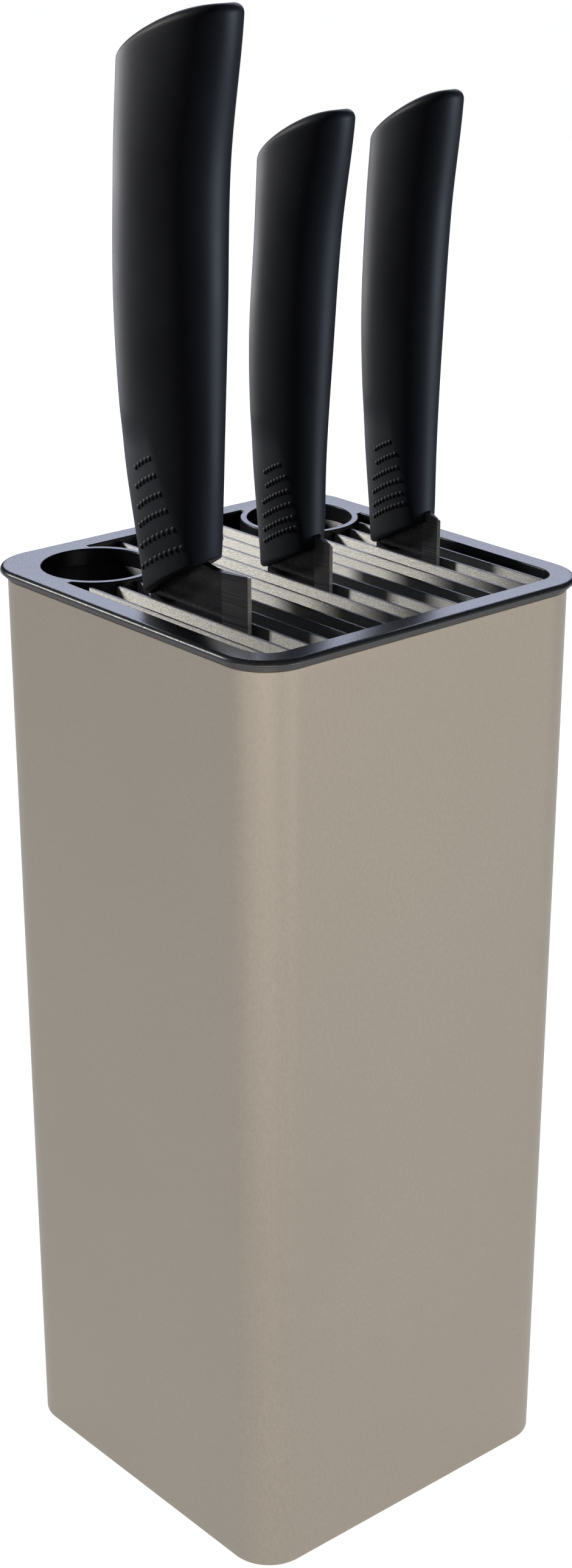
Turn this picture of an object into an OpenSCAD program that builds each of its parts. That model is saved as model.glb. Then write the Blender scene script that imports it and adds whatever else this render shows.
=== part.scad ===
// Universal knife block with three knives.
// A square steel sleeve holds a lift-out insert of thin parallel plates, and the blades drop into the
// gaps between the plates. Two tubes in the rear corners take scissors and a sharpening steel.
// +Z is up, the origin is under the middle of the block at the level the feet stand on.
// The plates run along X, and every cutting edge faces +X.

/* [Block] */
// Outside width and depth of the square sleeve
body_w = 100; // [96:1:110]
// Height of the sleeve's sheet
sleeve_h = 237.4; // [220:0.1:260]
// Outside radius of the sleeve's corners
body_r = 11; // [9:0.5:14]
// Thickness of the sleeve's sheet
sheet_t = 0.8; // [0.6:0.1:1.2]
// How far the feet hold the sleeve off the table
foot_h = 1; // [0.5:0.1:3]

/* [Top rim] */
// How far the rim stands above the sleeve
rim_rise = 2.9; // [2.5:0.1:5]
// How far the rim overhangs the sleeve on each side
rim_over = 1.8; // [1.2:0.1:2.5]
// Width of the rim, from its outside to the opening
rim_face = 6.1; // [5.5:0.1:7]
// Rounding of the rim's outer edge
rim_round = 1.2; // [0.5:0.1:1.3]
// Depth of the skirt that plugs into the sleeve
skirt_h = 12; // [8:0.5:20]
// Play between the skirt and the sleeve on each side
skirt_gap = 0.3; // [0.2:0.05:0.6]

/* [Plates] */
// Number of plates
fin_n = 16; // [8:2:16]
// Distance from one plate to the next
fin_pitch = 5.6; // [5.6:0.1:6]
// Thickness of a plate
fin_t = 0.8; // [0.6:0.1:1]
// Height of a plate
fin_h = 110; // [80:5:120]
// How far the plates' tops lie below the rim's top
fin_drop = 1; // [0.9:0.1:2]

/* [Tubes] */
// Bore radius of the two round holes
tube_r = 13.1; // [12:0.1:13.5]
// Wall of the rings and tubes
tube_wall = 1.8; // [1.6:0.1:2]
// Depth of the tubes below the rim's top
tube_depth = 168; // [120:1:190]
// Distance of each tube's axis from the block's middle, along X and along Y
tube_pos = 31.8; // [31.5:0.1:32]

/* [Knives] */
// Which gap the chef's knife stands in, counted from the middle one
chef_gap = -6; // [-6:1:-5]
// Which gap the utility knife stands in
utility_gap = 0; // [-1:1:1]
// Which gap the paring knife stands in
paring_gap = 6; // [5:1:6]
// Blade length of the chef's knife below its heel
chef_len = 150; // [120:5:160]
// Blade length of the utility knife
utility_len = 115; // [100:5:130]
// Blade length of the paring knife
paring_len = 90; // [75:5:100]
// Thickness of the chef's blade
chef_t = 1.8; // [1.5:0.1:2]
// Thickness of the two small blades
small_t = 1.5; // [1.2:0.1:1.8]

/* [Hidden] */

$fn = 96;
play = 0.05;                           // clearance between pieces that only touch
sleeve_top = foot_h + sleeve_h;
rim_top = sleeve_top + rim_rise;
half = body_w / 2;
corner_c = half - body_r;              // centre of every corner arc of the block

// radial offsets of the rim's section, measured from the corner centres
rim_out = body_r + rim_over;
lip_out = rim_out - 0.8;
neck_out = body_r - 0.1;
rim_in = rim_out - rim_face;
skirt_out = body_r - sheet_t - skirt_gap;
skirt_in = skirt_out - 1;
// heights of the rim's section
edge_low = rim_top - rim_round - 0.2;
lip_low = sleeve_top + 0.7;

ring_out = tube_r + tube_wall;
ring_h = 10;                           // how deep the rings reach below the rim's top
web_reach = 7.6;                       // how far the webs beside a ring reach past its axis
spigot_h = 6;                          // the tube's spigot inside the ring
spigot_r = tube_r + 1.1;
tube_floor = 2;
drain_r = 2.5;

fin_top = rim_top - fin_drop;
fin_bottom = fin_top - fin_h;
open_half = corner_c + rim_in;         // half width of the rim's opening
rail_out = corner_c + skirt_in;
ear_x = rail_out - 1.3;                // where a plate ends inside its rail
rail_foot = 4;
groove_w = fin_t + 0.1;

tray_gap = 0.1;
tray_out = body_r - sheet_t - tray_gap;
tray_recess = 3;
tray_floor = 2.4;
tray_wall = 1.8;
tray_h = 19;
foot_pos = 35;
foot_r = 7;
stem_r = 2.5;

// handle outlines: values at five equal steps from the blade end to the butt, in millimetres
// [low rear z, low front z, butt rear z, butt front z, butt bulge, rear x, front x, thickness]
chef_grip = [240.8, 252.7, 357.5, 370.0, 1.4,
             [-7.2, -13.2, -14.9, -13.1, -11.1], [13.4, 15.2, 16.3, 17.4, 23.0], [15.5, 16.8, 19.2, 20, 19]];
utility_grip = [240.8, 248.3, 334.6, 346.6, 1.4,
                [-6.2, -8.9, -9.4, -7.1, -6.1], [11.2, 11.4, 13.1, 15.5, 20.2], [13, 13.8, 15.6, 16, 15.5]];
paring_grip = [240.8, 248.8, 336.2, 348.0, 1.3,
               [-4.5, -7.2, -8.4, -7.2, -5.3], [12.9, 13.0, 13.8, 15.4, 18.8], [13, 13.8, 15.6, 16, 15.5]];

function fin_name(i) = str("fin_", i < 10 ? "0" : "", i);
function fin_y(i) = ((fin_n + 1) / 2 - i) * fin_pitch;
function gap_y(k) = k * fin_pitch;
function chord(r, d) = sqrt(r * r - d * d);

// smooth curve through equally spaced values, t from 0 to 1
function blend(v, t) =
    let (n = len(v) - 1, i = min(floor(t * n), n - 1), f = t * n - i,
         a = v[max(i - 1, 0)], b = v[i], c = v[i + 1], d = v[min(i + 2, n)])
    0.5 * (2 * b + (c - a) * f + (2 * a - 5 * b + 4 * c - d) * f * f + (3 * b - a - 3 * c + d) * f * f * f);
function signed_pow(v, p) = sign(v) * pow(abs(v), p);

// ---- shared shapes ----

// square with round corners whose arcs are centred on the block's corner centres
module plan(r) {
    w = 2 * corner_c;
    square([w + 2 * r, w], center = true);
    square([w, w + 2 * r], center = true);
    for (x = [-1, 1], y = [-1, 1])
        translate([x * corner_c, y * corner_c]) circle(r);
}

module slab(r, z0, z1) {
    translate([0, 0, z0]) linear_extrude(z1 - z0) plan(r);
}

// sweeps a section, given as radial offset and height, all round the block
module frame_sweep() {
    for (q = [0:3])
        rotate([0, 0, q * 90]) {
            translate([corner_c, corner_c, 0]) rotate_extrude(angle = 90) children();
            translate([corner_c, corner_c, 0])
                rotate([90, 0, 0]) linear_extrude(2 * corner_c) children();
        }
}

// a box given by its two corners
module span(a, b) {
    translate(a) cube(b - a);
}

// ---- the outer casing ----

module outer_sleeve() {
    color([0.62, 0.60, 0.55])
        difference() {
            slab(body_r, foot_h, sleeve_top);
            slab(body_r - sheet_t, foot_h - 1, sleeve_top + 1);
        }
}

module base_tray() {
    floor_z = foot_h + tray_recess;
    color([0.12, 0.12, 0.12])
        difference() {
            slab(tray_out, foot_h + 0.6, foot_h + tray_h);
            slab(tray_out - tray_wall, floor_z + tray_floor, foot_h + tray_h + 1);
            slab(tray_out - tray_wall, foot_h - 1, floor_z);
            for (x = [-1, 1], y = [-1, 1])
                translate([x * foot_pos, y * foot_pos, 0]) cylinder(r = stem_r, h = 20);
        }
}

module rubber_feet() {
    floor_z = foot_h + tray_recess;
    color([0.08, 0.08, 0.08])
        for (x = [-1, 1], y = [-1, 1])
            translate([x * foot_pos, y * foot_pos, 0]) {
                cylinder(r = foot_r, h = floor_z);
                cylinder(r = stem_r, h = floor_z + tray_floor + 1.6);
                translate([0, 0, floor_z + tray_floor]) cylinder(r = stem_r + 0.8, h = 1.6);
            }
}

// ---- the lift-out insert ----

module top_rim() {
    window_z = sleeve_top - skirt_h + 3;
    color([0.14, 0.14, 0.15])
        difference() {
            union() {
                frame_sweep() rim_section();
                for (y = [-1, 1]) {
                    translate([-tube_pos, y * tube_pos, rim_top - ring_h]) cylinder(r = ring_out, h = ring_h);
                    corner_web(y);
                }
            }
            for (y = [-1, 1])
                translate([-tube_pos, y * tube_pos, 0]) {
                    cylinder(r = tube_r, h = rim_top + 1);
                    translate([0, 0, rim_top - ring_h - 1])
                        cylinder(r = spigot_r + play, h = 1 + spigot_h + play);
                }
            // windows for the rails' snap lugs
            for (y = [-1, 1]) {
                span([rail_out - 1, y * 25 - 4, window_z], [rail_out + 3, y * 25 + 4, window_z + 3]);
                span([-rail_out - 3, y * 10 - 4, window_z], [1 - rail_out, y * 10 + 4, window_z + 3]);
            }
        }
}

// fills the corner behind a ring, and the narrow tip of the opening on each side of the ring
module corner_web(side) {
    wall = corner_c + rim_in + 1;
    tip = tube_pos - web_reach;
    edge = tube_pos + chord(ring_out, web_reach);
    intersection() {
        slab(rim_in + 1, sleeve_top, rim_top);
        translate([0, 0, sleeve_top]) linear_extrude(rim_rise)
            polygon([
                [-tube_pos, side * tube_pos], [-tube_pos, side * edge], [-tip, side * edge], [-tip, side * wall],
                [-wall, side * wall], [-wall, side * tip], [-edge, side * tip], [-edge, side * tube_pos]]);
    }
}

// the rounded outer edge stands over a small lip, and a shadow gap parts the lip from the sleeve
module rim_section() {
    polygon(concat(
        [[rim_in, sleeve_top], [rim_in, rim_top - 0.3], [rim_in + 0.3, rim_top]],
        [for (a = [0:22.5:90]) [rim_out - rim_round * (1 - sin(a)), rim_top - rim_round * (1 - cos(a))]],
        [[rim_out - 0.3, edge_low], [lip_out, edge_low], [lip_out, lip_low], [neck_out, lip_low],
         [neck_out, sleeve_top], [skirt_out, sleeve_top], [skirt_out, sleeve_top - skirt_h],
         [skirt_in, sleeve_top - skirt_h], [skirt_in, sleeve_top]]));
}

// a closed tube under a ring of the rim, with grooves that hold the ends of the shorter plates
module tube(side) {
    top = rim_top - ring_h;
    bottom = rim_top - tube_depth - tube_floor;
    color([0.12, 0.12, 0.13])
        difference() {
            translate([-tube_pos, side * tube_pos, bottom]) {
                cylinder(r = ring_out, h = top - bottom);
                cylinder(r = spigot_r, h = top - bottom + spigot_h);
            }
            translate([-tube_pos, side * tube_pos, bottom + tube_floor])
                cylinder(r = tube_r, h = tube_depth);
            translate([-tube_pos, side * tube_pos, bottom - 1]) cylinder(r = drain_r, h = 4);
            for (i = [1:fin_n])
                if (short_fin(i) && fin_y(i) * side > 0)
                    span([short_start(i) - 0.6, fin_y(i) - groove_w / 2, fin_bottom - 0.1],
                         [short_start(i) + 6, fin_y(i) + groove_w / 2, top + 1]);
        }
}

module scissor_tube() {
    tube(1);
}

module steel_tube() {
    tube(-1);
}

// grooved rail that holds one end of the plates; it hangs from the rim by two snap lugs
module rail(half_y, lug_y) {
    color([0.13, 0.13, 0.14]) {
        lug_z = sleeve_top - skirt_h + 3.1;
        difference() {
            union() {
                intersection() {
                    span([open_half, -half_y, fin_bottom - rail_foot], [rail_out, half_y, sleeve_top]);
                    slab(skirt_in, fin_bottom - rail_foot - 1, sleeve_top + 1);
                }
                for (y = [-1, 1])
                    span([rail_out - 1, y * lug_y - 3.8, lug_z], [rail_out + 0.8, y * lug_y + 3.8, lug_z + 2.6]);
            }
            for (i = [1:fin_n])
                if (abs(fin_y(i)) < half_y)
                    span([open_half - 1, fin_y(i) - groove_w / 2, fin_bottom - 0.1],
                         [ear_x + 0.1, fin_y(i) + groove_w / 2, sleeve_top + 1]);
        }
    }
}

module rail_front() {
    rail(corner_c + 6, 25);
}

module rail_rear() {
    mirror([1, 0, 0]) rail(16.5, 10);
}

// a plate is short when a tube stands at its rear end
function tube_offset(i) = abs(abs(fin_y(i)) - tube_pos);
function short_fin(i) = tube_offset(i) < ring_out;
// where a short plate starts, just clear of the ring
function short_start(i) = -tube_pos + chord(ring_out, max(tube_offset(i) - fin_t / 2, 0)) + 0.1;
// where the rim's opening ends at a plate
function open_end(i) =
    let (d = abs(fin_y(i)) + fin_t / 2 - corner_c)
    (d > 0 ? corner_c + chord(rim_in, d) : open_half) - 0.1;

module fin(i) {
    y = fin_y(i);
    x_open = open_end(i);
    rear_top = short_fin(i) ? short_start(i) : -x_open;
    rear_low = short_fin(i) ? short_start(i) - 0.5 : -ear_x;
    rear_step = short_fin(i) ? rim_top - ring_h - 0.1 : sleeve_top - 0.2;
    color([0.2, 0.2, 0.2])
        translate([0, y + fin_t / 2, 0]) rotate([90, 0, 0]) linear_extrude(fin_t)
            polygon([
                [rear_low, fin_bottom], [ear_x, fin_bottom], [ear_x, sleeve_top - 0.2],
                [x_open, sleeve_top - 0.2], [x_open, fin_top], [rear_top, fin_top],
                [rear_top, rear_step], [rear_low, rear_step]]);
}

// ---- knives ----

// one ring of a handle: h is the distance from the nearest end and inset the rounding there
function grip_ring(g, u, at_butt, h, inset, n, gap) =
    [for (k = [0:n - 1])
        let (a = signed_pow(cos(360 * k / n), 0.95), b = signed_pow(sin(360 * k / n), 0.95),
             s = (a + 1) / 2,
             low = g[0] + (g[1] - g[0]) * s,
             top = g[2] + (g[3] - g[2]) * (1 - pow(1 - s, g[4])),
             z = at_butt ? top - h : low + h + u * (top - low - 2 * h),
             t = (z - g[0]) / (g[3] - g[0]),
             rear = blend(g[5], t), front = blend(g[6], t), thick = blend(g[7], t))
        [(front + rear) / 2 + a * ((front - rear) / 2 - inset), gap + b * (thick / 2 - inset), z]];

// closed smooth handle from its outline values
module grip_solid(g, y) {
    n = 32;
    low_r = 0.9;
    butt_r = 2;
    steps = 12;
    turns = [0, 30, 60, 90];
    rings = concat(
        [for (p = turns) grip_ring(g, 0, false, low_r * (1 - cos(p)), low_r * (1 - sin(p)), n, y)],
        [for (k = [1:steps - 1]) grip_ring(g, k / steps, false, low_r + (butt_r - low_r) * k / steps, 0, n, y)],
        [for (p = [90, 60, 30, 0]) grip_ring(g, 1, true, butt_r * (1 - cos(p)), butt_r * (1 - sin(p)), n, y)]);
    m = len(rings);
    last = (m - 1) * n;
    sides = [for (r = [0:m - 2], k = [0:n - 1])
        [r * n + k, (r + 1) * n + k, (r + 1) * n + (k + 1) % n, r * n + (k + 1) % n]];
    low_cap = [for (k = [0:n / 2 - 1])
        k == 0 ? [0, 1, n - 1] : k == n / 2 - 1 ? [k, k + 1, n - k] : [k, k + 1, n - k - 1, n - k]];
    top_cap = [for (f = low_cap) [for (k = [len(f) - 1:-1:0]) last + f[k]]];
    polyhedron(points = [for (r = rings, p = r) p], faces = concat(sides, low_cap, top_cap), convexity = 4);
}

// blade and tang as one flat plate in the X Z plane
// x0 spine, x1 edge, heel height, blade length, points from the handle to the heel, tang top
module blade_plate(y, t, x0, x1, heel_z, length, heel, tang_top) {
    tip_z = heel_z - length;
    belly_h = length * 0.42;
    belly = [for (a = [0:6:90]) [x0 + 1.5 + (x1 - x0 - 1.5) * cos(a), tip_z + belly_h * (1 - sin(a))]];
    tang_x = (x0 + x1) / 2 - 5;
    translate([0, y + t / 2, 0]) rotate([90, 0, 0]) linear_extrude(t)
        polygon(concat(heel, belly,
            [[x0, tip_z + 14], [x0, heel_z - 2], [tang_x - 5, heel_z + 6],
             [tang_x - 5, tang_top], [tang_x + 5, tang_top], [tang_x + 5, heel_z + 8]]));
}

module chef_plate() {
    blade_plate(gap_y(chef_gap), chef_t, -7.7, 27.6, 252, chef_len,
        [[11, 253.5], [11.6, 251.8], [15.2, 251.3], [18.6, 251.3], [22.1, 251.4], [25.2, 251.8], [27.6, 252]],
        335);
}

module utility_plate() {
    blade_plate(gap_y(utility_gap), small_t, -5.9, 16.6, 250.1, utility_len,
        [[11, 252], [14, 251], [16.6, 250.1]], 320);
}

module paring_plate() {
    blade_plate(gap_y(paring_gap), small_t, -4.3, 17.3, 250.3, paring_len,
        [[12, 252], [14.7, 251.1], [17.3, 250.3]], 320);
}

// hard block moulded round the tang
module core_block(y, x, w, t, z0, z1) {
    translate([x - w / 2, y - t / 2, z0]) cube([w, t, z1 - z0]);
}

module chef_block() {
    core_block(gap_y(chef_gap), 3, 17, 9, 266, 342);
}

module utility_block() {
    core_block(gap_y(utility_gap), 1.5, 13, 7, 262, 326);
}

module paring_block() {
    core_block(gap_y(paring_gap), 2, 13, 7, 262, 326);
}

module chef_blade() {
    color([0.1, 0.1, 0.11]) chef_plate();
}

module chef_core() {
    color([0.2, 0.2, 0.2]) difference() {
        chef_block();
        chef_plate();
    }
}

module chef_handle() {
    color([0.09, 0.09, 0.1]) difference() {
        grip_solid(chef_grip, gap_y(chef_gap));
        chef_block();
        chef_plate();
    }
}

module utility_blade() {
    color([0.1, 0.1, 0.11]) utility_plate();
}

module utility_core() {
    color([0.2, 0.2, 0.2]) difference() {
        utility_block();
        utility_plate();
    }
}

module utility_handle() {
    color([0.09, 0.09, 0.1]) difference() {
        grip_solid(utility_grip, gap_y(utility_gap));
        utility_block();
        utility_plate();
    }
}

module paring_blade() {
    color([0.1, 0.1, 0.11]) paring_plate();
}

module paring_core() {
    color([0.2, 0.2, 0.2]) difference() {
        paring_block();
        paring_plate();
    }
}

module paring_handle() {
    color([0.09, 0.09, 0.1]) difference() {
        grip_solid(paring_grip, gap_y(paring_gap));
        paring_block();
        paring_plate();
    }
}

outer_sleeve();
base_tray();
rubber_feet();
top_rim();
scissor_tube();
steel_tube();
rail_front();
rail_rear();
for (i = [1:fin_n])
    fin(i);
chef_blade();
chef_handle();
chef_core();
utility_blade();
utility_handle();
utility_core();
paring_blade();
paring_handle();
paring_core();
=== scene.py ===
"""Looks for the knife block: sleeve, rim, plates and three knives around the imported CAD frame.

Lengths in the mesh code are millimetres in the CAD frame: +Z up, plates along X, edges facing +X.
"""
import math

import bmesh
import bpy
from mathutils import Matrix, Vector
from mathutils.geometry import tessellate_polygon


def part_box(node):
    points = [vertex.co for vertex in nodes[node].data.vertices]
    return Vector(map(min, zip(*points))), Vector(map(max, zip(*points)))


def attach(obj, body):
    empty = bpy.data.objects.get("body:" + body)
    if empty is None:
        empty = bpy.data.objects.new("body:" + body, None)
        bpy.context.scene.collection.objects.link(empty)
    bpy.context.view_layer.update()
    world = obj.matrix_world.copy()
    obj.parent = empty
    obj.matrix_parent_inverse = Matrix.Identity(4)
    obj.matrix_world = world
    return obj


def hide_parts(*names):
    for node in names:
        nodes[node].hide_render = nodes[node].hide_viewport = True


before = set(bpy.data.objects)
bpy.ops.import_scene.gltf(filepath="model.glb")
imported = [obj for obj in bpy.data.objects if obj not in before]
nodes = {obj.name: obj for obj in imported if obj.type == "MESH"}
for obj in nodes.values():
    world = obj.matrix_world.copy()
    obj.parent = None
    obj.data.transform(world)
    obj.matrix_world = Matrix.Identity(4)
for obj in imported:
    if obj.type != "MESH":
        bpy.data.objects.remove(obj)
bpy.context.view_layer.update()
scene = bpy.context.scene
MM = 0.001


def high_mm(node):
    """Highest corner of a CAD node in millimetres."""
    return [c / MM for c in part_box(node)[1]]


# ---- sizes shared with the CAD ----
BODY_R = 11.0
SHEET_T = 0.8
SLEEVE_HALF, _, SLEEVE_TOP = high_mm("outer_sleeve")
SLEEVE_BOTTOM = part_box("outer_sleeve")[0][2] / MM
CORNER = SLEEVE_HALF - BODY_R
RIM_HALF, _, RIM_TOP = high_mm("top_rim")
RIM_OUT = RIM_HALF - CORNER
RIM_IN = RIM_OUT - 6.1
RIM_ROUND = 1.2
EDGE_LOW = RIM_TOP - RIM_ROUND - 0.2
LIP_OUT = RIM_OUT - 0.8
LIP_LOW = SLEEVE_TOP + 0.7
NECK_OUT = BODY_R - 0.1
SKIRT_OUT = BODY_R - SHEET_T - 0.3
SKIRT_IN = SKIRT_OUT - 1.0
SKIRT_H = 12.0
TUBE_POS = 31.8
TUBE_R = 13.1
RING_R = 14.9
RING_H = 10.0
WEB_REACH = 7.6
CORNER_STEPS = 24
SIDE_END = 1.2
FOOT_POS = 35
# the skirt's windows: how far out they start, and the span of the front and rear ones along Y
WINDOW_X = 45
FRONT_WINDOW = (21, 29)
REAR_WINDOW = (6, 14)


# ---- mesh helpers ----

class Shells:
    """Closed shells collected into one mesh."""

    def __init__(self):
        self.verts = []
        self.faces = []
        self.slots = []

    def add(self, verts, faces, slots=None):
        start = len(self.verts)
        self.verts += [tuple(v) for v in verts]
        self.faces += [[start + i for i in f] for f in faces]
        self.slots += slots or [0] * len(faces)

    def skin(self, rings, closed=False, caps=False):
        """Surface through rings that have the same number of points."""
        n, count = len(rings[0]), len(rings)
        faces = bands(n, count, closed=closed)
        if caps:
            faces += [list(range(n)), list(range((count - 1) * n, count * n))]
        self.add(flat(rings), faces)

    def piece(self, name, materials, body, stands_for, sharp=38, weighted=True):
        """Makes the object, in its material, riding on a CAD body in the place of a CAD node."""
        mesh = bpy.data.meshes.new(name)
        mesh.from_pydata([[c * MM for c in v] for v in self.verts], [], self.faces)
        for m in materials:
            mesh.materials.append(m)
        mesh.polygons.foreach_set("material_index", self.slots)
        bm = bmesh.new()
        bm.from_mesh(mesh)
        bmesh.ops.recalc_face_normals(bm, faces=bm.faces)
        bm.to_mesh(mesh)
        bm.free()
        mesh.shade_smooth()
        mesh.set_sharp_from_angle(angle=math.radians(sharp))
        obj = bpy.data.objects.new(name, mesh)
        scene.collection.objects.link(obj)
        if weighted:
            normals = obj.modifiers.new("normals", "WEIGHTED_NORMAL")
            normals.keep_sharp = True
        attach(obj, body)
        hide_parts(stands_for)
        return obj


def flat(rings):
    """Points of all the rings in one list."""
    return [p for ring in rings for p in ring]


def bands(n, count, start=0, closed=False):
    """Quads between consecutive rings of n points, whose first point has the number start."""
    faces = []
    for r in range(count if closed else count - 1):
        a, b = start + r * n, start + (r + 1) % count * n
        faces += [[a + k, a + (k + 1) % n, b + (k + 1) % n, b + k] for k in range(n)]
    return faces


def at_z(loop, z):
    return [(x, y, z) for x, y in loop]


def arc(cx, cy, r, a0, a1, n):
    """Points on an arc, angles in degrees, both ends included."""
    turns = [math.radians(a0 + (a1 - a0) * k / n) for k in range(n + 1)]
    return [(cx + r * math.cos(a), cy + r * math.sin(a)) for a in turns]


def square_loop(offset, cuts=()):
    """Square with round corners around the block's corner centres, and points at the cuts on its sides."""
    loop = []
    reach = CORNER + offset
    for c, s in ((1, 0), (0, 1), (-1, 0), (0, -1)):
        corner = arc(CORNER, CORNER, offset, 0, 90, CORNER_STEPS)
        ends = CORNER - SIDE_END
        side = [(u, reach) for u in (ends, *sorted(cuts, reverse=True), -ends)]
        loop += [(c * x - s * y, s * x + c * y) for x, y in corner + side]
    return loop


def circle(cx, cy, r, n=96):
    return arc(cx, cy, r, 0, 360 - 360 / n, n - 1)


def round_edge(r, steps=4):
    """Quarter-round edge as (distance in from the wall, distance below the top)."""
    turns = [math.pi / 2 * k / steps for k in range(steps + 1)]
    return [(r * (1 - math.sin(t)), r * (1 - math.cos(t))) for t in turns]


def lathe(shells, cx, cy, section, n=96):
    """Ring from a closed section of (radius, z)."""
    shells.skin([at_z(circle(cx, cy, r, n), z) for r, z in section], closed=True)


def rounded_section(x0, x1, z0, z1, r, steps=3):
    """Closed rectangle with round corners, as (offset, z) points."""
    pts = []
    for cx, cz, a in ((x1 - r, z1 - r, 0), (x0 + r, z1 - r, 90),
                      (x0 + r, z0 + r, 180), (x1 - r, z0 + r, 270)):
        pts += arc(cx, cz, r, a, a + 90, steps)
    return pts


def polyline_at(points, t):
    """Smooth curve through equally spaced values, t from 0 to 1."""
    n = len(points) - 1
    i = min(max(int(t * n), 0), n - 1)
    f = t * n - i
    a, b, c, d = (points[min(max(i + k, 0), n)] for k in (-1, 0, 1, 2))
    square, cube = 2 * a - 5 * b + 4 * c - d, 3 * b - a - 3 * c + d
    return 0.5 * (2 * b + (c - a) * f + square * f * f + cube * f ** 3)


def signed_pow(v, p):
    return math.copysign(abs(v) ** p, v)


def smooth(v, lo=0.0, hi=1.0):
    t = min(max((v - lo) / (hi - lo), 0.0), 1.0)
    return t * t * (3 - 2 * t)


# ---- materials ----

class Look:
    """Procedural material around one Principled shader."""

    def __init__(self, name, **sockets):
        self.material = bpy.data.materials.new(name)
        self.material.use_nodes = True
        self.tree = self.material.node_tree
        self.shader = self.tree.nodes["Principled BSDF"]
        self.coords = self.node("ShaderNodeTexCoord").outputs["Object"]
        for socket, value in sockets.items():
            self.put(self.shader, socket.replace("_", " "), value)

    def put(self, node, socket, value):
        target = node.inputs[socket]
        if isinstance(value, bpy.types.NodeSocket):
            self.tree.links.new(value, target)
        elif hasattr(value, "__len__") and target.type == "RGBA" and len(value) == 3:
            target.default_value = (*value, 1)
        else:
            target.default_value = value

    def node(self, kind, settings=(), **sockets):
        made = self.tree.nodes.new(kind)
        for key, value in dict(settings).items():
            setattr(made, key, value)
        for socket, value in sockets.items():
            self.put(made, socket.replace("_", " "), value)
        return made

    def noise(self, scale, detail=3.0, roughness=0.55, stretch=(1, 1, 1)):
        vector = self.node("ShaderNodeMapping", Vector=self.coords, Scale=stretch).outputs[0]
        return self.node("ShaderNodeTexNoise", Vector=vector, Scale=scale, Detail=detail,
                         Roughness=roughness).outputs["Fac"]

    def specks(self, scale, size):
        """1 on small scattered dots, 0 elsewhere."""
        cell = self.node("ShaderNodeTexVoronoi", Vector=self.coords, Scale=scale).outputs["Distance"]
        return self.remap(cell, size, size * 1.6, 1, 0)

    def remap(self, value, a, b, lo, hi):
        made = self.node("ShaderNodeMapRange")
        for i, v in enumerate((value, a, b, lo, hi)):
            self.put(made, i, v)
        return made.outputs[0]

    def mix(self, factor, a, b):
        made = self.node("ShaderNodeMix", {"data_type": "RGBA"})
        for i, v in ((0, factor), (6, a), (7, b)):
            self.put(made, i, v)
        return made.outputs[2]

    def math(self, kind, a, b):
        made = self.node("ShaderNodeMath", {"operation": kind})
        for i, v in enumerate((a, b)):
            self.put(made, i, v)
        return made.outputs[0]

    def bump(self, height, distance, strength, under=None):
        made = self.node("ShaderNodeBump", Height=height, Distance=distance, Strength=strength)
        if under:
            self.put(made, "Normal", under)
        return made.outputs[0]

    def finish(self, **links):
        for socket, value in links.items():
            self.put(self.shader, socket.replace("_", " "), value)
        return self.material


def shade(colour, factor):
    return tuple(c * factor for c in colour)


def sleeve_lacquer():
    look = Look("sleeve_lacquer", Metallic=0.45, IOR=1.5)
    tone = (0.335, 0.300, 0.255)
    drift = look.remap(look.noise(14, 2), 0.3, 0.7, 0, 1)
    base = look.mix(drift, shade(tone, 0.965), shade(tone, 1.035))
    grain = look.noise(1500, 4, 0.7, (1, 1, 0.55))
    base = look.mix(look.remap(grain, 0.3, 0.7, 0, 1), shade(tone, 0.86), base)
    dots = look.specks(900, 0.10)
    base = look.mix(look.math("MULTIPLY", dots, 0.15), base, shade(tone, 1.4))
    height = look.bump(grain, 0.00003, 0.35)
    height = look.bump(look.noise(620, 3, 0.6, (1, 1, 0.6)), 0.00025, 0.20, height)
    return look.finish(Base_Color=base, Roughness=look.remap(grain, 0.3, 0.7, 0.42, 0.50), Normal=height)


def moulded(name, tone, rough, grain_scale, grain_depth):
    """Spark-eroded moulded plastic."""
    look = Look(name, IOR=1.5)
    fine = look.noise(grain_scale, 3, 0.6)
    broad = look.noise(45, 2)
    base = look.mix(look.remap(broad, 0.3, 0.7, 0, 1), shade(tone, 0.85), shade(tone, 1.15))
    base = look.mix(look.remap(fine, 0.35, 0.7, 0, 0.5), base, shade(tone, 1.7))
    height = look.bump(fine, grain_depth, 0.4)
    return look.finish(Base_Color=base, Roughness=look.remap(fine, 0.3, 0.7, rough - 0.05, rough + 0.06),
                       Normal=height)


def plate_metal():
    look = Look("plate_metal", Metallic=0.35)
    tone = (0.54, 0.53, 0.495)
    blast = look.noise(3600, 2, 0.7)
    sparkle = look.noise(6500, 1, 0.5)
    base = look.mix(look.remap(blast, 0.32, 0.68, 0, 1), shade(tone, 0.60), shade(tone, 1.16))
    z = look.node("ShaderNodeSeparateXYZ", Vector=look.coords).outputs["Z"]
    # painted shade: the plates' top edges are painted dark, standing in for the light they catch less than the
    # faces below them
    painted_top_shade = look.remap(z, 0.24005, 0.24022, 0, 1)
    base = look.mix(painted_top_shade, base, (0.09, 0.09, 0.10))
    height = look.bump(blast, 0.00012, 0.9)
    height = look.bump(sparkle, 0.00005, 0.6, height)
    return look.finish(Base_Color=base, Roughness=look.remap(sparkle, 0.3, 0.7, 0.36, 0.52), Normal=height)


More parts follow.
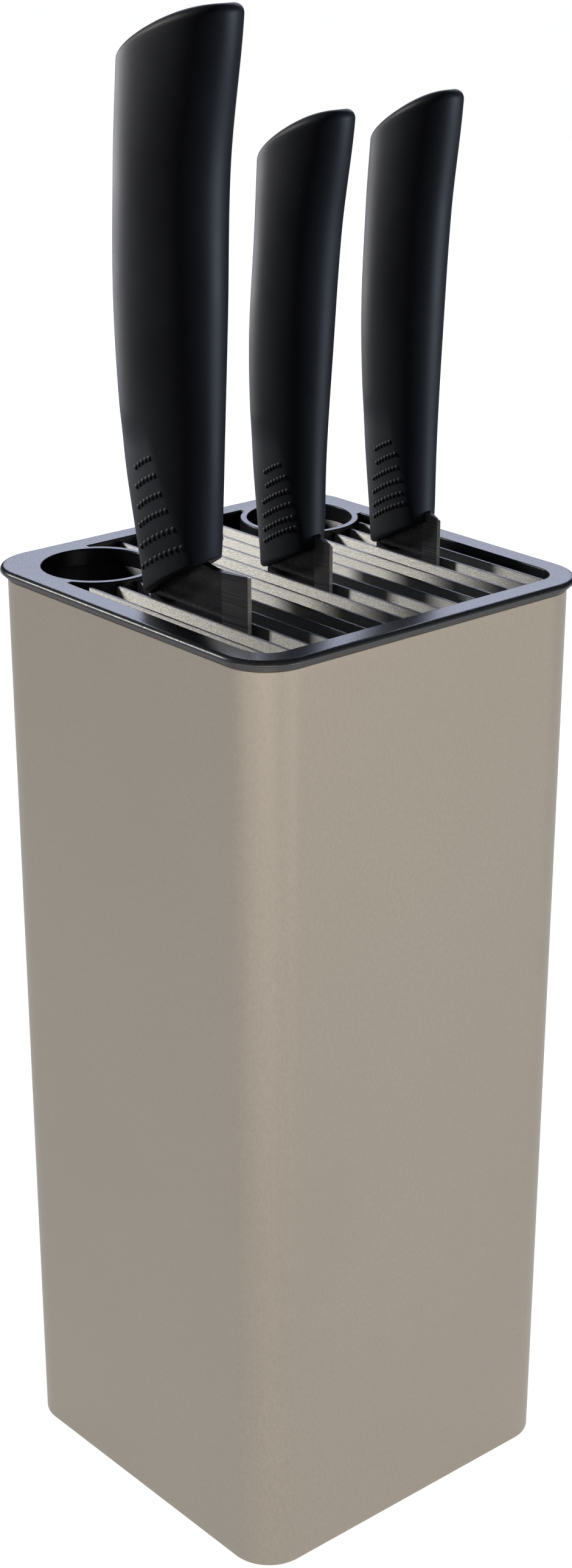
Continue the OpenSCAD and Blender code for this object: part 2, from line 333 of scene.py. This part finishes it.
def soft_touch():
    look = Look("handle_soft_touch", IOR=1.27, Sheen_Weight=0.02, Sheen_Roughness=0.5)
    tone = (0.0120, 0.0135, 0.0175)
    fine = look.noise(2600, 3, 0.6)
    broad = look.noise(55, 3)
    base = look.mix(look.remap(broad, 0.3, 0.7, 0, 1), shade(tone, 0.85), shade(tone, 1.2))
    dust = look.specks(260, 0.035)
    base = look.mix(look.math("MULTIPLY", dust, 0.10), base, (0.25, 0.26, 0.28))
    height = look.bump(fine, 0.00004, 0.35)
    return look.finish(Base_Color=base, Roughness=look.remap(broad, 0.3, 0.7, 0.46, 0.54), Normal=height)


def blade_coat():
    look = Look("blade_coating", IOR=1.25)
    fine = look.noise(2400, 3, 0.6)
    broad = look.noise(60, 2)
    base = look.mix(look.remap(broad, 0.3, 0.7, 0, 1), (0.004, 0.0043, 0.005), (0.007, 0.0073, 0.009))
    base = look.mix(look.remap(fine, 0.4, 0.7, 0, 0.5), base, (0.009, 0.009, 0.011))
    return look.finish(Base_Color=base, Roughness=look.remap(fine, 0.3, 0.7, 0.24, 0.34),
                       Normal=look.bump(fine, 0.00001, 0.3))


def blade_grind():
    look = Look("blade_grind", IOR=1.5, Metallic=0.6)
    lines = look.noise(300, 5, 0.75, (0.10, 1, 34))
    base = look.mix(look.remap(lines, 0.42, 0.70, 0, 1), (0.014, 0.014, 0.017), (0.10, 0.10, 0.11))
    return look.finish(Base_Color=base, Roughness=look.remap(lines, 0.3, 0.7, 0.26, 0.42),
                       Normal=look.bump(lines, 0.00004, 0.5))


def blade_edge():
    look = Look("blade_edge", Metallic=1.0)
    lines = look.noise(300, 5, 0.75, (0.10, 1, 20))
    base = look.mix(look.remap(lines, 0.35, 0.70, 0, 1), (0.34, 0.34, 0.33), (0.72, 0.72, 0.70))
    return look.finish(Base_Color=base, Roughness=look.remap(lines, 0.3, 0.7, 0.25, 0.42),
                       Normal=look.bump(lines, 0.00002, 0.5))


def foot_rubber():
    look = Look("foot_rubber", IOR=1.45)
    fine = look.noise(1800, 3, 0.6)
    base = look.mix(look.remap(fine, 0.3, 0.7, 0, 1), (0.018, 0.018, 0.018), (0.035, 0.035, 0.034))
    return look.finish(Base_Color=base, Roughness=look.remap(fine, 0.3, 0.7, 0.7, 0.85),
                       Normal=look.bump(fine, 0.00006, 0.5))


LACQUER = sleeve_lacquer()
RIM_PLASTIC = moulded("rim_plastic", (0.014, 0.015, 0.018), 0.30, 2300, 0.00005)
FRAME_PLASTIC = moulded("frame_plastic", (0.012, 0.012, 0.014), 0.42, 1500, 0.00006)
BASE_PLASTIC = moulded("base_plastic", (0.03, 0.03, 0.031), 0.5, 1300, 0.00008)
CORE_PLASTIC = moulded("core_plastic", (0.08, 0.08, 0.08), 0.5, 1500, 0.00005)
PLATE = plate_metal()
SOFT_TOUCH = soft_touch()
COAT = blade_coat()
GRIND = blade_grind()
EDGE = blade_edge()
RUBBER = foot_rubber()


# ---- casing ----

def make_sleeve():
    shells = Shells()
    section = rounded_section(BODY_R - SHEET_T, BODY_R, SLEEVE_BOTTOM, SLEEVE_TOP, 0.3)
    levels = [(BODY_R, z) for z in (SLEEVE_BOTTOM + 2, 120, SLEEVE_TOP - 2)]
    shells.skin([at_z(square_loop(o), z) for o, z in section + levels], closed=True)
    return shells.piece("sleeve", [LACQUER], "casing", "outer_sleeve")


def make_feet():
    shells = Shells()
    top = high_mm("rubber_feet")[2]
    for x in (-FOOT_POS, FOOT_POS):
        for y in (-FOOT_POS, FOOT_POS):
            section = [(0.01, 0.35), (2.2, 0.35), (2.6, 0)]
            section += [(6.3, 0), (6.8, 0.2), (7, 0.7), (7, 3.6), (6.7, 4), (2.5, 4), (2.5, 6.45)]
            section += [(3.3, 6.45), (3.2, 7.3), (2.6, top), (0.01, top)]
            lathe(shells, x, y, section, 64)
    return shells.piece("feet", [RUBBER], "casing", "rubber_feet")


# ---- rim ----

def opening_loop(d):
    """Outline of the rim's opening, with the solid's edge moved back by d."""
    wall = CORNER + RIM_IN + d
    tip = TUBE_POS - WEB_REACH + d
    r = RING_R - d
    cross = math.sqrt(r * r - (TUBE_POS - tip) ** 2)
    turn = math.degrees(math.atan2(cross, TUBE_POS - tip))
    loop = arc(CORNER, -CORNER, RIM_IN + d, -90, 0, CORNER_STEPS)
    loop += [(wall, y) for y in (-30, -10, 10, 30)]
    loop += arc(CORNER, CORNER, RIM_IN + d, 0, 90, CORNER_STEPS) + [(x, wall) for x in (30, 10, -10)]
    loop += [(-tip, wall)] + arc(-TUBE_POS, TUBE_POS, r, turn, -90 - turn, 72) + [(-wall, tip)]
    loop += [(-wall, y) for y in (10, -10)] + [(-wall, -tip)]
    loop += arc(-TUBE_POS, -TUBE_POS, r, 90 + turn, -turn, 72) + [(-tip, -wall)]
    return loop + [(x, -wall) for x in (-10, 10, 30)]


def make_rim():
    shells = Shells()
    outer = [(d, RIM_TOP - h) for d, h in round_edge(RIM_ROUND, 8)]
    outer += [(0.04, EDGE_LOW + 0.06), (0.16, EDGE_LOW), (RIM_OUT - LIP_OUT, EDGE_LOW)]
    outer += [(RIM_OUT - LIP_OUT, LIP_LOW + 0.12), (RIM_OUT - LIP_OUT + 0.12, LIP_LOW)]
    outer += [(RIM_OUT - NECK_OUT, LIP_LOW), (RIM_OUT - NECK_OUT, SLEEVE_TOP)]
    inner = [(d, RIM_TOP - h) for d, h in round_edge(0.35)] + [(0, RIM_TOP - 1.5), (0, SLEEVE_TOP)]
    walls = [[at_z(square_loop(RIM_OUT - d), z) for d, z in outer],
             [at_z(opening_loop(d), z) for d, z in inner]]
    walls += [[at_z(circle(-TUBE_POS, y, TUBE_R + d), z) for d, z in inner] for y in (-TUBE_POS, TUBE_POS)]
    verts, faces, rims = [], [], ([], [])
    for rings in walls:
        start, n = len(verts), len(rings[0])
        verts += flat(rings)
        faces += bands(n, len(rings), start)
        rims[0].append(list(range(start, start + n)))
        rims[1].append(list(range(start + (len(rings) - 1) * n, start + len(rings) * n)))
    for loops in rims:
        numbers = flat(loops)
        outline = [[Vector(verts[i]) for i in loop] for loop in loops]
        faces += [[numbers[i] for i in tri] for tri in tessellate_polygon(outline)]
    shells.add(verts, faces)
    bottom = RIM_TOP - RING_H
    for y in (-TUBE_POS, TUBE_POS):
        collar = [(TUBE_R, SLEEVE_TOP), (TUBE_R, bottom + 6.05), (TUBE_R + 1.15, bottom + 6.05)]
        collar += [(TUBE_R + 1.15, bottom), (RING_R - 0.2, bottom), (RING_R, bottom + 0.2)]
        collar += [(RING_R, SLEEVE_TOP)]
        lathe(shells, -TUBE_POS, y, collar)
    add_skirt(shells)
    return shells.piece("rim", [RIM_PLASTIC], "insert", "top_rim")


def add_skirt(shells):
    """Skirt that plugs into the sleeve, with windows for the rails' snap lugs."""
    cuts = [side * y for y in FRONT_WINDOW + REAR_WINDOW for side in (-1, 1)]
    low = SLEEVE_TOP - SKIRT_H
    levels = [(0.2, low), (0, low + 0.3), (0, low + 3), (0, low + 6), (0, SLEEVE_TOP)]
    out = [at_z(square_loop(SKIRT_OUT - d, cuts), z) for d, z in levels]
    inn = [at_z(square_loop(SKIRT_IN, cuts), z) for _, z in levels]
    n, rows = len(out[0]), len(levels)

    def is_window(j, k):
        x = (out[0][k][0] + out[0][(k + 1) % n][0]) / 2
        y = abs(out[0][k][1] + out[0][(k + 1) % n][1]) / 2
        lo, hi = FRONT_WINDOW if x > 0 else REAR_WINDOW
        return j == 2 and abs(x) > WINDOW_X and lo < y < hi

    shift = rows * n
    faces = []
    for j in range(rows - 1):
        for k in range(n):
            m = (k + 1) % n
            if is_window(j, k):
                continue
            a, b, c, d = j * n + k, j * n + m, (j + 1) * n + m, (j + 1) * n + k
            faces += [[a, b, c, d], [d + shift, c + shift, b + shift, a + shift]]
            for (jj, kk), (p, q) in (((j - 1, k), (a, b)), ((j + 1, k), (c, d)),
                                     ((j, (k - 1) % n), (d, a)), ((j, m), (b, c))):
                if jj < 0 or jj > rows - 2 or is_window(jj, kk):
                    faces.append([p, p + shift, q + shift, q])
    shells.add(flat(out + inn), faces)


# ---- knives ----

# gap: the plates' gap the knife stands in.
# g: heights of the lower end's rear and front, of the butt's rear and front, and the butt's curve.
# rear, front, thick: equally spaced values up the handle, for grip_surface.
# crease: two (x, height) points on the front edge of the flat pad; pad: how flat it is.
# rows: number of dots, rear and front x, and height of each row.
GRIPS = {
    "chef": dict(gap=-33.6, g=(240.8, 252.7, 357.5, 370.0, 1.4), rear=(-7.2, -13.2, -14.9, -13.1, -11.1),
                 front=(13.4, 15.2, 16.3, 17.4, 23.0), thick=(15.5, 16.8, 19.2, 20, 19),
                 crease=((3.8, 277.0), (11.6, 254.8)), dot_r=0.62, pad=0.6,
                 rows=((5, -4.2, 2.5, 275.0), (6, -4.5, 3.9, 271.4), (7, -4.5, 5.4, 267.5),
                       (8, -4.6, 6.9, 264.0), (8, -4.8, 8.7, 260.0), (9, -4.8, 10.5, 256.1))),
    "utility": dict(gap=0.0, g=(240.8, 248.3, 334.6, 346.6, 1.4), rear=(-6.2, -8.9, -9.4, -7.1, -6.1),
                    front=(11.2, 11.4, 13.1, 15.5, 20.2), thick=(13, 13.8, 15.6, 16, 15.5),
                    crease=((5.6, 272.0), (10.4, 251.5)), dot_r=0.54, pad=0.4,
                    rows=((6, -0.4, 5.0, 268.1), (7, 0.1, 6.6, 265.5), (9, -1.5, 7.0, 262.3),
                          (9, -1.5, 7.6, 259.3), (9, -1.5, 8.0, 256.2), (10, -1.5, 8.6, 253.8))),
    "paring": dict(gap=33.6, g=(240.8, 248.8, 336.2, 348.0, 1.3), rear=(-4.5, -7.2, -8.4, -7.2, -5.3),
                   front=(12.9, 13.0, 13.8, 15.4, 18.8), thick=(13, 13.8, 15.6, 16, 15.5),
                   crease=((6.6, 272.0), (11.4, 251.5)), dot_r=0.54, pad=0.4,
                   rows=((6, 0.6, 6.0, 268.1), (7, 1.1, 7.6, 265.5), (9, -0.5, 8.0, 262.3),
                         (9, -0.5, 8.6, 259.3), (9, -0.5, 9.0, 256.2), (10, -0.5, 9.6, 253.8))),
}
ROUND_R = 2.0
LOW_ROUND = 0.9
GRIP_EXP = 0.95
GRIP_N = 96
GRIP_STEPS = 64
PAD_REAR = -0.86
PAD_FRONT_MAX = 0.9
PAD_FADE = 7


def handle_at(knife, z, *keys):
    """Values of a handle's curves at height z."""
    g = knife["g"]
    t = (z - g[0]) / (g[3] - g[0])
    return [polyline_at(knife[k], t) for k in keys]


def grip_surface(knife, a, z, inset=0.0):
    """Position along X and half thickness of a handle, where a goes from -1 at the rear to 1 at the front."""
    rear, front, thick = handle_at(knife, z, "rear", "front", "thick")
    half = (front - rear) / 2
    x = (front + rear) / 2 + a * (half - inset)

    def y_at(v):
        return math.sqrt(max(1 - abs(v) ** (2 / GRIP_EXP), 0)) ** GRIP_EXP * (thick / 2 - inset)

    y = y_at(a)
    (x0, z0), (x1, z1) = knife["crease"]
    xc = x0 + (z - z0) * (x1 - x0) / (z1 - z0)
    ac = min((xc - (front + rear) / 2) / half, PAD_FRONT_MAX)
    if PAD_REAR < a < ac and z < z0 + PAD_FADE:
        chord = y_at(PAD_REAR) + (y_at(ac) - y_at(PAD_REAR)) * (a - PAD_REAR) / (ac - PAD_REAR)
        y += (chord - y) * knife["pad"] * smooth(z, z0 + PAD_FADE, z0 - 1)
    return x, y


def side_point(knife, side, x, z):
    """Point on one side of a handle."""
    rear, front = handle_at(knife, z, "rear", "front")
    a = (x - (front + rear) / 2) / ((front - rear) / 2)
    px, py = grip_surface(knife, a, z)
    return Vector((px, knife["gap"] + side * py, z))


def grip_ring(knife, u, at_butt, h, inset):
    """Ring around a handle, at u from its lower end to its butt, kept h clear of the ends."""
    g = knife["g"]
    ring = []
    for k in range(GRIP_N):
        theta = 2 * math.pi * k / GRIP_N
        a = signed_pow(math.cos(theta), GRIP_EXP)
        s = (a + 1) / 2
        low = g[0] + (g[1] - g[0]) * s
        top = g[2] + (g[3] - g[2]) * (1 - (1 - s) ** g[4])
        z = top - h if at_butt else low + h + u * (top - low - 2 * h)
        x, y = grip_surface(knife, a, z, inset)
        side = 0 if k in (0, GRIP_N // 2) else math.copysign(1, math.sin(theta))
        ring.append((x, knife["gap"] + side * y, z))
    return ring


def add_dot(shells, centre, normal, r):
    """Small dome standing on the handle's side."""
    axis = Vector(normal).normalized()
    turn = axis.to_track_quat("Z", "Y").to_matrix()
    rings = []
    for lift, width in ((-0.5, 1.15), (0.0, 1.12), (0.22, 1.0),
                        (0.48, 0.80), (0.66, 0.50), (0.72, 0.2)):
        ring = [Vector((r * width * math.cos(t), r * width * math.sin(t), r * lift * 0.85))
                for t in (math.pi * k / 6 for k in range(12))]
        rings.append([tuple(Vector(centre) + turn @ p) for p in ring])
    shells.skin(rings, caps=True)


def make_handle(name, knife):
    shells = Shells()
    turns = [math.pi / 2 * k / 7 for k in range(8)]
    rings = [grip_ring(knife, 0, False, LOW_ROUND * (1 - math.cos(p)), LOW_ROUND * (1 - math.sin(p)))
             for p in turns]
    rings += [grip_ring(knife, k / GRIP_STEPS, False, LOW_ROUND + (ROUND_R - LOW_ROUND) * k / GRIP_STEPS, 0)
              for k in range(1, GRIP_STEPS)]
    rings += [grip_ring(knife, 1, True, ROUND_R * (1 - math.cos(p)), ROUND_R * (1 - math.sin(p)))
              for p in reversed(turns)]
    n = GRIP_N
    faces = bands(n, len(rings))
    for start in (0, (len(rings) - 1) * n):
        faces += [[start, start + 1, start + n - 1],
                  [start + n // 2 - 1, start + n // 2, start + n // 2 + 1]]
        faces += [[start + k, start + k + 1, start + n - k - 1, start + n - k]
                  for k in range(1, n // 2 - 1)]
    shells.add(flat(rings), faces)
    for count, x0, x1, z1 in knife["rows"]:
        for k in range(count):
            f = k / (count - 1)
            x = x0 + (x1 - x0) * f
            z = z1 - (x1 - x) * (0.40 + 0.12 * (1 - f))
            for side in (-1, 1):
                here = side_point(knife, side, x, z)
                along = side_point(knife, side, x + 0.2, z) - side_point(knife, side, x - 0.2, z)
                up = side_point(knife, side, x, z + 0.2) - side_point(knife, side, x, z - 0.2)
                normal = along.cross(up)
                if normal.y * side < 0:
                    normal = -normal
                add_dot(shells, here, normal, knife["dot_r"])
    return shells.piece(name + "_grip", [SOFT_TOUCH], name + "_knife",
                        name + "_handle", weighted=False)


# x0, x1: spine and edge; t: thickness; grind, strip: widths of the grind and of the sharpened strip.
# heel: the blade's upper edge as (x, height) points.
BLADES = {
    "chef": dict(gap=-33.6, x0=-7.7, x1=27.6, heel_z=252.0, length=150.0, t=1.8, grind=9.1, strip=1.0,
                 tang_top=334.5, heel=((11, 253.5), (11.6, 251.8), (15.2, 251.3), (18.6, 251.3),
                                       (22.1, 251.4), (25.2, 251.8), (27.6, 252))),
    "utility": dict(gap=0.0, x0=-5.9, x1=16.6, heel_z=250.1, length=115.0, t=1.5, grind=5.4, strip=0.8,
                    tang_top=319.5, heel=((11, 252), (14, 251), (16.6, 250.1))),
    "paring": dict(gap=33.6, x0=-4.3, x1=17.3, heel_z=250.3, length=90.0, t=1.5, grind=5.2, strip=0.8,
                   tang_top=319.5, heel=((12, 252), (14.7, 251.1), (17.3, 250.3))),
}
STRAIGHT = 0.45
BELLY = 0.42
HEEL_BLEND = 0.06
TIP_IN = 1.5
COAT_SLOT, GRIND_SLOT, EDGE_SLOT = 0, 1, 2


def heel_height(blade, x):
    """Height of the blade's upper edge at x."""
    pts = blade["heel"]
    if x <= pts[0][0]:
        return pts[0][1]
    for (xa, za), (xb, zb) in zip(pts, pts[1:]):
        if x <= xb:
            return za + (zb - za) * (x - xa) / (xb - xa)
    return pts[-1][1]


def blade_line(blade, s):
    """Spine point and edge point at s, from 0 at the heel to 1 at the tip."""
    x0, x1, heel_z, length = (blade[k] for k in ("x0", "x1", "heel_z", "length"))
    tip_z, belly = heel_z - length, length * BELLY
    if s < STRAIGHT:
        z = heel_z - (length - belly) * s / STRAIGHT
        return (x0, z), (x1, z)
    f = (s - STRAIGHT) / (1 - STRAIGHT)
    a = math.pi / 2 * f
    edge = (x0 + TIP_IN + (x1 - x0 - TIP_IN) * math.cos(a), tip_z + belly * (1 - math.sin(a)))
    z = tip_z + belly * (1 - f)
    spine = (x0 + TIP_IN * smooth(z, tip_z + 14, tip_z), max(z, edge[1]))
    return spine, edge


def make_blade(name, blade):
    shells = Shells()
    half_t = blade["t"] / 2
    width = blade["x1"] - blade["x0"]
    # distance from the edge and half thickness there
    columns = [(0.0, 0.03), (0.12, 0.06), (blade["strip"], 0.22), (blade["strip"] + 0.1, 0.235)]
    columns += [(blade["grind"] - 0.12, half_t - 0.02), (blade["grind"] + 0.12, half_t)]
    columns += [(blade["grind"] + (width - 0.35 - blade["grind"]) * f, half_t)
                for f in (0.13, 0.24, 0.268, 0.29, 0.33, 0.7, 1.0)]
    columns += [(width - 0.1, half_t - 0.1), (width, half_t - 0.35)]
    rows = [0.0, 0.004, 0.012, 0.03, HEEL_BLEND] + [HEEL_BLEND + 0.39 * k / 6 for k in range(1, 7)]
    rows += [STRAIGHT + 0.549 * (1 - (1 - k / 30) ** 1.4) for k in range(1, 31)]
    rings = []
    for s in rows:
        spine, edge = blade_line(blade, s)
        w = math.dist(spine, edge)
        front = []
        for d, h in columns:
            f = d / width
            near = min(d, w * f ** 0.75) if w < width else d
            f = min(near / max(w, 1e-6), 1.0)
            x, z = edge[0] + (spine[0] - edge[0]) * f, edge[1] + (spine[1] - edge[1]) * f
            rise = heel_height(blade, x) - blade["heel_z"]
            z += rise * (1 - smooth(s, 0.0, HEEL_BLEND))
            front.append((x, h * min(1.0, (w / 6) ** 0.5 if w < 6 else 1.0), z))
        ring = [(x, blade["gap"] - h, z) for x, h, z in front]
        ring += [(x, blade["gap"] + h, z) for x, h, z in reversed(front)]
        rings.append(ring)
    n, m = len(rings[0]), len(columns)
    faces = bands(n, len(rings))
    nearest = [min(k, n - 2 - k) if k < n - 1 else 0 for k in range(n)]
    slots = [EDGE_SLOT if c < 2 else GRIND_SLOT if c < 5 else COAT_SLOT for c in nearest] * (len(rings) - 1)
    for start in (0, (len(rings) - 1) * n):
        for k in range(m - 1):
            faces.append([start + k, start + k + 1, start + n - k - 2, start + n - k - 1])
            slots.append(EDGE_SLOT if k < 2 else COAT_SLOT)
    shells.add(flat(rings), faces, slots)
    mid, side = (blade["x0"] + blade["x1"]) / 2 - 5, half_t - 0.02
    tang = ((5, blade["heel_z"] - 6), (5, blade["tang_top"] - 0.5), (4.7, blade["tang_top"]))
    shells.skin([[(mid + u * half, blade["gap"] + v * side, z) for u, v in ((-1, -1), (1, -1), (1, 1), (-1, 1))]
                 for half, z in tang], caps=True)
    return shells.piece(name + "_steel", [COAT, GRIND, EDGE], name + "_knife",
                        name + "_blade", sharp=4)


# ---- carried-over CAD nodes ----

def dress(node, material, bevel):
    """Material and softened edges for a CAD node."""
    obj = nodes[node]
    obj.data.materials.clear()
    obj.data.materials.append(material)
    weld = obj.modifiers.new("weld", "WELD")
    weld.merge_threshold = 1e-6
    edge = obj.modifiers.new("edges", "BEVEL")
    edge.width = bevel * MM
    edge.segments = 2
    edge.limit_method = "ANGLE"
    edge.angle_limit = math.radians(35)
    edge.harden_normals = True


FRAME_NAMES = ("scissor_tube", "steel_tube", "rail_front", "rail_rear")
PLATE_NAMES = [name for name in nodes if name.startswith("fin_")]

make_sleeve()
make_feet()
RIM = make_rim()
GRIP_PIECES = [make_handle(name, knife) for name, knife in GRIPS.items()]
STEEL_PIECES = [make_blade(name, blade) for name, blade in BLADES.items()]
for name in BLADES:
    dress(name + "_core", CORE_PLASTIC, 0.3)
for name in PLATE_NAMES:
    dress(name, PLATE, 0.14)
for name in FRAME_NAMES:
    dress(name, FRAME_PLASTIC, 0.05)
dress("base_tray", BASE_PLASTIC, 0.3)


# ---- stage, lights and camera ----

def make_floor():
    look = Look("floor_white")
    base = look.mix(look.noise(6, 2), (0.50, 0.50, 0.50), (0.52, 0.52, 0.52))
    material = look.finish(Base_Color=base, Roughness=0.6, Specular_IOR_Level=0.2,
                           Emission_Color=(1.0, 1.0, 1.0), Emission_Strength=0.98)
    mesh = bpy.data.meshes.new("floor")
    mesh.from_pydata([(-6, -6, 0), (6, -6, 0), (6, 6, 0), (-6, 6, 0)], [], [(0, 1, 2, 3)])
    mesh.materials.append(material)
    floor = bpy.data.objects.new("floor", mesh)
    scene.collection.objects.link(floor)
    return floor


def make_world():
    """Dim bluish surroundings that look white to the camera."""
    world = bpy.data.worlds.new("studio")
    scene.world = world
    world.use_nodes = True
    tree = world.node_tree
    back = tree.nodes["Background"]
    path = tree.nodes.new("ShaderNodeLightPath")
    seen = tree.nodes.new("ShaderNodeMix")
    seen.data_type = "RGBA"
    seen.inputs[6].default_value = (0.03, 0.033, 0.04, 1)
    seen.inputs[7].default_value = (1, 1, 1, 1)
    tree.links.new(path.outputs["Is Camera Ray"], seen.inputs[0])
    tree.links.new(seen.outputs[2], back.inputs["Color"])


def make_flag():
    """Small card that shades the plates' front ends from the key, seen by nothing but the lights."""
    mesh = bpy.data.meshes.new("flag")
    x, y, z = Vector((0.023, 0, 0.24)) + 0.3 * Vector(SUN).normalized()
    corners = [(x, y - 0.1, z), (x + 0.06, y - 0.1, z), (x + 0.06, y + 0.1, z), (x, y + 0.1, z)]
    mesh.from_pydata(corners, [], [(0, 1, 2, 3)])
    flag = bpy.data.objects.new("flag", mesh)
    scene.collection.objects.link(flag)
    for ray in ("camera", "diffuse", "glossy", "transmission"):
        setattr(flag, "visible_" + ray, False)
    return flag


def area_light(name, direction, distance, size, watts, colour, target=(0, 0, 0.2), shape="RECTANGLE"):
    data = bpy.data.lights.new(name, "AREA")
    data.shape = shape
    data.size, data.size_y = size
    data.energy = watts
    data.color = colour
    light = bpy.data.objects.new(name, data)
    scene.collection.objects.link(light)
    light.location = Vector(target) + Vector(direction).normalized() * distance
    light.rotation_euler = (-Vector(direction)).to_track_quat("-Z", "Y").to_euler()
    light.visible_camera = False
    return light


def sun_light(name, watts, objects):
    """Main light from the left, for some of the objects."""
    light = area_light(name, SUN, 2.5, (0.5, 0.5), watts, (1.0, 0.98, 0.95), (0, 0, 0.24), "ELLIPSE")
    link_light(light, objects)
    return light


def link_light(light, objects, state="INCLUDE"):
    """Lets the light reach only these objects, or all but these; every object still casts its shadows."""
    linked = bpy.data.collections.new(light.name + "_linked")
    for obj in objects:
        linked.objects.link(obj)
    for entry in linked.collection_objects:
        entry.light_linking.link_state = state
    light.light_linking.receiver_collection = linked


PLATES = [nodes[name] for name in PLATE_NAMES]
FRAME_NODES = [nodes[name] for name in FRAME_NAMES]
SUN = (-0.755, -0.525, 0.39)

link_light(make_floor(), GRIP_PIECES + STEEL_PIECES + PLATES, "EXCLUDE")
make_world()
key = sun_light("key", 185, PLATES + FRAME_NODES + STEEL_PIECES)
flag = make_flag()
sun_light("soft_key", 26, [RIM])
sun_light("grip_key", 48, GRIP_PIECES)
for name, direction, watts, colour in (("left_edge", (-0.93, -0.02, -0.05), 4.2, (0.96, 0.96, 1.0)),
                                       ("right_edge", (0.72, 0.63, -0.08), 10, (0.76, 0.85, 1.0))):
    edge = area_light(name, direction, 1.1, (0.5, 0.4), watts, colour, (0, 0, 0.31))
    link_light(edge, GRIP_PIECES)
area_light("back_panel", (-0.65, 0.63, 0.46), 2.2, (1.6, 1.0), 19, (0.74, 0.79, 1.0))
for name, direction, width, watts in (("front_low", (0.31, -0.95, -0.02), 1.5, 6.5),
                                      ("corner_low", (0.84, -0.54, -0.02), 1.0, 6.0),
                                      ("right_low", (0.95, 0.30, -0.02), 0.9, 6.0)):
    low = area_light(name, direction, 1.6, (width, 0.2), watts, (1.0, 0.915, 0.80), (0, 0, 0.1))
    link_light(low, GRIP_PIECES, "EXCLUDE")
area_light("right_high", (0.80, 0.55, 0.25), 2.2, (0.5, 0.9), 1, (0.80, 0.88, 1.0), (0, 0, 0.3))

# the shade card blocks only the key
open_card = bpy.data.collections.new("open_card")
open_card.objects.link(flag)
open_card.collection_objects[0].light_linking.link_state = "EXCLUDE"
for light in [obj for obj in scene.objects if obj.type == "LIGHT" and obj != key]:
    light.light_linking.blocker_collection = open_card

camera_data = bpy.data.cameras.new("camera")
camera_data.lens = 58.05
camera_data.sensor_width = 36
camera_data.sensor_fit = "AUTO"
camera_data.shift_y = 0.0963
camera_data.clip_start = 0.01
camera = bpy.data.objects.new("camera", camera_data)
scene.collection.objects.link(camera)
camera.location = (0.43738, -0.37545, 0.41549)
camera.rotation_euler = Vector((-0.6872, 0.5901, -0.4237)).to_track_quat("-Z", "Y").to_euler()
scene.camera = camera
scene.view_settings.view_transform = "Standard"
